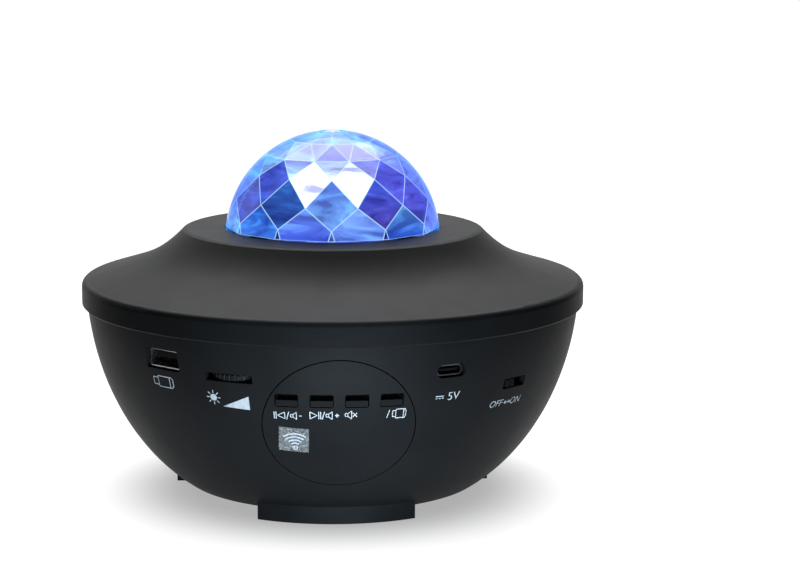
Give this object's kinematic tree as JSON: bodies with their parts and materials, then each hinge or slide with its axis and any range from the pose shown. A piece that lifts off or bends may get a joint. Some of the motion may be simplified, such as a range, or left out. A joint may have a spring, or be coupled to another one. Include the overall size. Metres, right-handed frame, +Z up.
{
  "type": "star night light projector",
  "caption": "Bowl-shaped star light projector with a stepped cover, a faceted dome, a turning ripple lens, a laser, a speaker, keys, a brightness wheel and a power switch.",
  "frame": {"origin": "on the table under the middle of the round body", "axes": "+Z up, -Y towards the control panel, +X to the right seen from the front"},
  "size_m": [0.168, 0.168, 0.121],
  "materials": {
    "casing_plastic": "satin, finely textured",
    "foot_rubber": "matt",
    "screw_steel": "zinc plated",
    "dome_clear": "clear, faceted, lit blue from inside",
    "lens_clear": "clear",
    "ripple_clear": "clear, rippled",
    "key_plastic": "satin",
    "wheel_plastic": "satin, notched",
    "slider_plastic": "satin",
    "remote_window_film": "silver grain",
    "inner_white": "plain",
    "board_green": "solder mask",
    "socket_metal": "nickel plated",
    "socket_black": "plain",
    "radio_can": "tin plated",
    "sink_aluminium": "extruded",
    "led_lens": "clear over yellow",
    "barrel_brass": "turned",
    "gear_white": "moulded",
    "motor_steel": "drawn can",
    "speaker_foam": "foam",
    "speaker_steel": "plated",
    "speaker_paper": "pressed paper"
  },
  "bodies": {
    "root": {"lower_bowl": "casing_plastic", "foot_pads": "foot_rubber", "base_screws": "screw_steel", "top_cover": "casing_plastic", "faceted_dome": "dome_clear", "dome_window": "lens_clear", "dome_ring": "inner_white", "dome_ring_screws": "screw_steel", "control_panel": "casing_plastic", "remote_window": "remote_window_film", "tact_switches": "socket_black", "main_board": "board_green", "board_screws": "screw_steel", "usb_a_shell": "socket_metal", "usb_a_tongue": "socket_black", "usb_c_shell": "socket_metal", "usb_c_tongue": "socket_black", "potentiometer": "socket_black", "slide_switch_body": "socket_black", "ir_receiver": "socket_black", "board_chips": "socket_black", "radio_module": "radio_can", "chassis": "inner_white", "chassis_screws": "screw_steel", "heat_sink": "sink_aluminium", "led_board": "board_green", "leds": "led_lens", "laser_barrel": "barrel_brass", "laser_lens": "lens_clear", "drive_motor": "motor_steel", "speaker_gasket": "speaker_foam", "speaker_frame": "speaker_steel", "speaker_magnet": "speaker_steel", "speaker_cone": "speaker_paper", "speaker_screws": "screw_steel"},
    "rotor": {"ring_gear": "gear_white", "ripple_lens": "ripple_clear"},
    "pinion": {"drive_pinion": "gear_white"},
    "wheel": {"brightness_wheel": "wheel_plastic"},
    "slider": {"power_slider": "slider_plastic"},
    "key_back_body": {"key_back": "key_plastic"},
    "key_play_body": {"key_play": "key_plastic"},
    "key_mute_body": {"key_mute": "key_plastic"},
    "key_mode_body": {"key_mode": "key_plastic"}
  },
  "joints": [
    {"name": "rotor_spin", "type": "hinge", "parent": "root", "child": "rotor", "pos_m": [0, 0, 0.078], "axis": [0, 0, 1], "continuous": true},
    {"name": "pinion_spin", "type": "hinge", "parent": "root", "child": "pinion", "pos_m": [0.0172, 0.02979, 0.078], "axis": [0, 0, 1], "continuous": true},
    {"name": "brightness_turn", "type": "hinge", "parent": "root", "child": "wheel", "pos_m": [-0.02979, -0.06447, 0.0527], "axis": [0, 0, 1], "range_deg": [-135, 135]},
    {"name": "power_slide", "type": "slide", "parent": "root", "child": "slider", "axis": [0.7108, 0.7034, 0], "range_m": [0, 0.004]},
    {"name": "key_back_press", "type": "hinge", "parent": "root", "child": "key_back_body", "pos_m": [-0.01511, -0.07238, 0.0424], "axis": [-0.9789, 0.2043, 0], "range_deg": [0, 4], "stiffness_Nm_per_rad": 0.02},
    {"name": "key_play_press", "type": "hinge", "parent": "root", "child": "key_play_body", "pos_m": [-0.00507, -0.07376, 0.0424], "axis": [-0.9976, 0.0685, 0], "range_deg": [0, 4], "stiffness_Nm_per_rad": 0.02},
    {"name": "key_mute_press", "type": "hinge", "parent": "root", "child": "key_mute_body", "pos_m": [0.00507, -0.07376, 0.0424], "axis": [-0.9976, -0.0685, 0], "range_deg": [0, 4], "stiffness_Nm_per_rad": 0.02},
    {"name": "key_mode_press", "type": "hinge", "parent": "root", "child": "key_mode_body", "pos_m": [0.01511, -0.07238, 0.0424], "axis": [-0.9789, -0.2043, 0], "range_deg": [0, 4], "stiffness_Nm_per_rad": 0.02}
  ],
  "couplings": [
    {"joint": "pinion_spin", "follows": "rotor_spin", "ratio": -6.1667}
  ]
}
